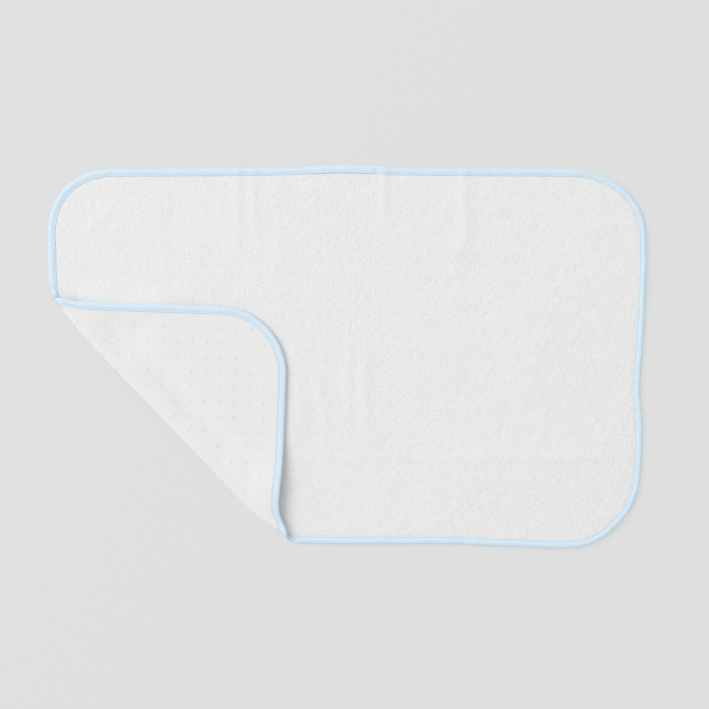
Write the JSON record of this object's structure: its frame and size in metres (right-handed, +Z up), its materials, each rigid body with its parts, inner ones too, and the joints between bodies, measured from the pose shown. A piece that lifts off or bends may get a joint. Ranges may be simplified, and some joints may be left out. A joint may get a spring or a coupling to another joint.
{
  "type": "changing pad",
  "caption": "Thin folding fabric changing mat with a terry top, a dotted anti-slip underside and a sewn binding, lying flat with one corner turned over.",
  "frame": {"origin": "middle of the mat's rectangle, on the surface it lies on", "axes": "+Z up, +X along the mat's length, +Y across the mat, away from the person at the near edge; the turned corner is at -X -Y"},
  "size_m": [0.8, 0.5, 0.018],
  "materials": {
    "white_terry": "short looped terry towelling, matte",
    "felt_core": "needled absorbent felt, matte",
    "clear_film": "thin soft waterproof film",
    "white_backing": "fine plain knit, matte",
    "pale_blue_tape": "folded cotton bias tape, matte",
    "blue_thread": "spun polyester sewing thread",
    "grip_rubber": "soft translucent silicone dots, slightly domed"
  },
  "bodies": {
    "left_half": {"terry_top_left": "white_terry", "absorbent_core_left": "felt_core", "waterproof_film_left": "clear_film", "backing_cloth_left": "white_backing", "binding_left": "pale_blue_tape", "needle_thread_left": "blue_thread", "bobbin_thread_left": "blue_thread", "grip_dots_left": "grip_rubber", "terry_top_bend": "white_terry", "absorbent_core_bend": "felt_core", "waterproof_film_bend": "clear_film", "backing_cloth_bend": "white_backing", "binding_bend": "pale_blue_tape", "binding_overlap": "pale_blue_tape"},
    "corner_flap": {"terry_top_corner": "white_terry", "absorbent_core_corner": "felt_core", "waterproof_film_corner": "clear_film", "backing_cloth_corner": "white_backing", "binding_corner": "pale_blue_tape", "needle_thread_corner": "blue_thread", "bobbin_thread_corner": "blue_thread", "grip_dots_corner": "grip_rubber"},
    "right_half": {"terry_top_right": "white_terry", "absorbent_core_right": "felt_core", "waterproof_film_right": "clear_film", "backing_cloth_right": "white_backing", "binding_right": "pale_blue_tape", "needle_thread_right": "blue_thread", "bobbin_thread_right": "blue_thread", "grip_dots_right": "grip_rubber"}
  },
  "joints": [
    {"name": "corner_fold", "type": "hinge", "parent": "left_half", "child": "corner_flap", "pos_m": [-0.244, -0.088, 0.009], "axis": [0.6936, -0.7203, 0], "range_deg": [0, 181.4], "deforming": ["terry_top_bend", "absorbent_core_bend", "waterproof_film_bend", "backing_cloth_bend", "binding_bend"]},
    {"name": "half_fold", "type": "hinge", "parent": "left_half", "child": "right_half", "pos_m": [0.046, 0, 0.0069], "axis": [0, -1, 0], "range_deg": [0, 172]}
  ]
}
